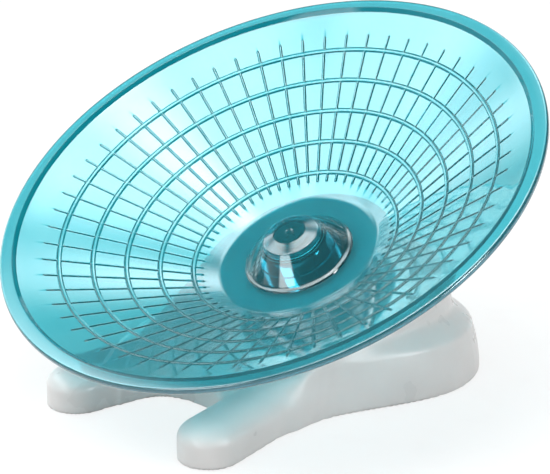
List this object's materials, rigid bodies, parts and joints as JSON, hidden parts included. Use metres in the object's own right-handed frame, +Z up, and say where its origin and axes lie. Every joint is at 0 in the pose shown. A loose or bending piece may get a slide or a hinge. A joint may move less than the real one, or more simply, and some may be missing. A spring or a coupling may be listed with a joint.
{
  "type": "small animal running disc",
  "caption": "Leaning transparent running dish with raised grip rings and ribs, spinning on a ball bearing over a hollow stand with front legs.",
  "frame": {"origin": "on the floor under the middle of the dish's rim", "axes": "+Z up, +X across the stand, -Y to the front, where the legs point and the dish leans"},
  "size_m": [0.2, 0.1779, 0.1207],
  "materials": {
    "dish_plastic": "transparent gloss",
    "stand_plastic": "milky satin",
    "steel": "plated",
    "ball_steel": "polished",
    "cage_plastic": "matte",
    "pad_rubber": "matte"
  },
  "bodies": {
    "stand_body": {"stand": "stand_plastic", "foot_pad_front_left": "pad_rubber", "foot_pad_front_right": "pad_rubber", "foot_pad_rear_left": "pad_rubber", "foot_pad_rear_right": "pad_rubber", "axle": "steel", "clamp_washer": "steel", "clamp_screw": "steel", "bearing_inner_race": "steel", "retainer_washer": "steel", "retainer_screw": "steel"},
    "dish_body": {"running_dish": "dish_plastic", "hub_cap": "dish_plastic", "bearing_outer_race": "steel", "bearing_shield_lower": "steel", "bearing_shield_upper": "steel"},
    "cage_body": {"bearing_cage": "cage_plastic", "bearing_ball_1": "ball_steel", "bearing_ball_2": "ball_steel", "bearing_ball_3": "ball_steel", "bearing_ball_4": "ball_steel", "bearing_ball_5": "ball_steel", "bearing_ball_6": "ball_steel", "bearing_ball_7": "ball_steel"}
  },
  "joints": [
    {"name": "dish_spin", "type": "hinge", "parent": "stand_body", "child": "dish_body", "pos_m": [0, 0.01479, 0.0454], "axis": [0, -0.4594, 0.8882], "continuous": true},
    {"name": "cage_spin", "type": "hinge", "parent": "stand_body", "child": "cage_body", "pos_m": [0, 0.01479, 0.0454], "axis": [0, -0.4594, 0.8882], "continuous": true}
  ],
  "couplings": [
    {"joint": "cage_spin", "follows": "dish_spin", "ratio": 0.63227}
  ]
}
